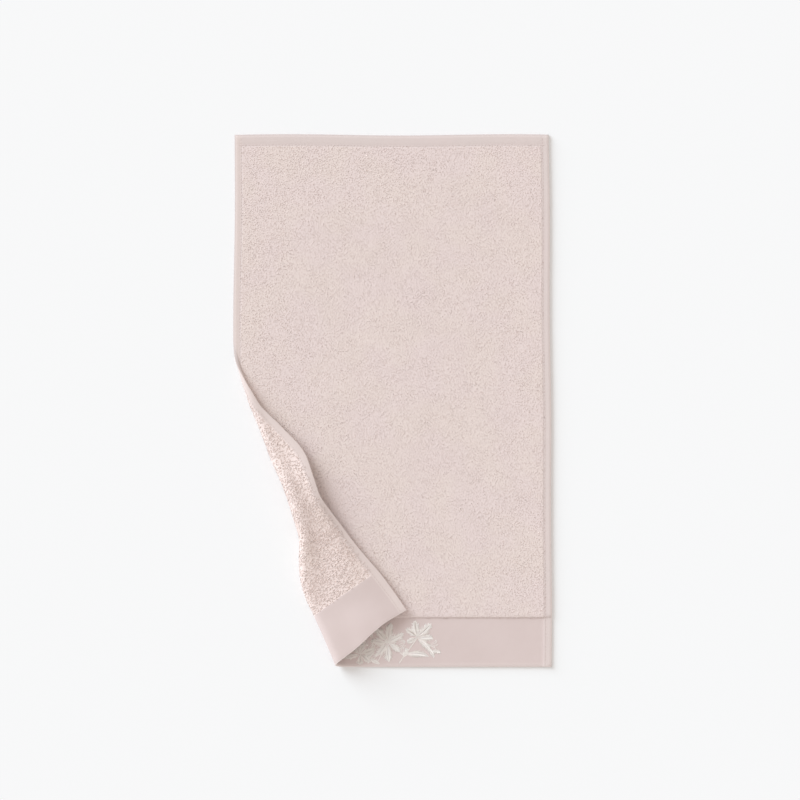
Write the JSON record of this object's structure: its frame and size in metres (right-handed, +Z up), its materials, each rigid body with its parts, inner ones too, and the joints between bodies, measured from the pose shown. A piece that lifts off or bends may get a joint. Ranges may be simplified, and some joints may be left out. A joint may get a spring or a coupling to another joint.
{
  "type": "hand towel",
  "caption": "Rectangular terry hand towel with narrow hems and a smooth woven end border, laid flat with a lower corner folded over.",
  "frame": {"origin": "centre of the laid towel's outline, on the surface that it lies on", "axes": "+X across the towel to its right side, +Y along the towel from its border to its top edge, +Z up from the surface"},
  "size_m": [0.2996, 0.5006, 0.0175],
  "materials": {
    "terry_cloth": "matt cotton terry loops in pale dusty rose, with smooth woven hems and end border in the same yarn",
    "embroidery_thread": "soft sheen ivory embroidery thread in satin stitch and knots"
  },
  "bodies": {
    "root": {"towel": "terry_cloth"}
  },
  "joints": []
}
